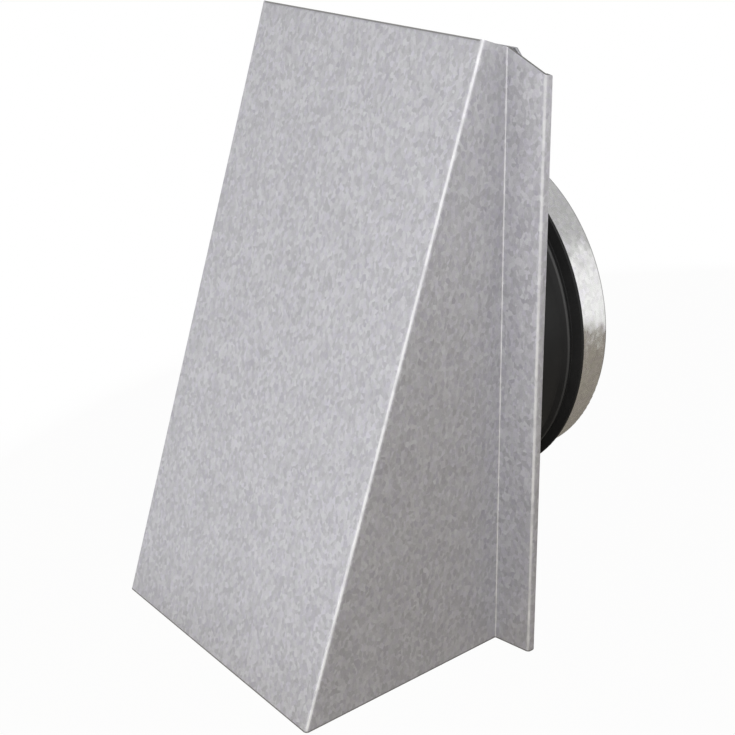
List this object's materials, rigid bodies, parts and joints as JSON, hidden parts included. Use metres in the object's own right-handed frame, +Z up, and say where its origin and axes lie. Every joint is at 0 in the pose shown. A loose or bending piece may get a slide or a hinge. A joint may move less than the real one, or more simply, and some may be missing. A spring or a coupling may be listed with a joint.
{
  "type": "vent cap",
  "caption": "Folded sheet-steel wall vent hood, open at the bottom, with side flanges, a back plate and a round duct spigot with a lipped rubber seal.",
  "frame": {"origin": "on the spigot's axis, in the wall plane that the hems' rear faces lie in", "axes": "+X to the right when facing the hood's front, +Y into the wall along the spigot, +Z up"},
  "size_m": [0.1474, 0.1365, 0.22],
  "materials": {
    "hood_steel": "hot-dip galvanised, small spangle",
    "plate_steel": "hot-dip galvanised, small spangle",
    "spigot_steel": "galvanised, smoother and shinier than the hood",
    "seal_rubber": "matt black moulded rubber"
  },
  "bodies": {
    "root": {"hood": "hood_steel", "back_plate": "plate_steel", "spigot": "spigot_steel", "seal": "seal_rubber"}
  },
  "joints": []
}
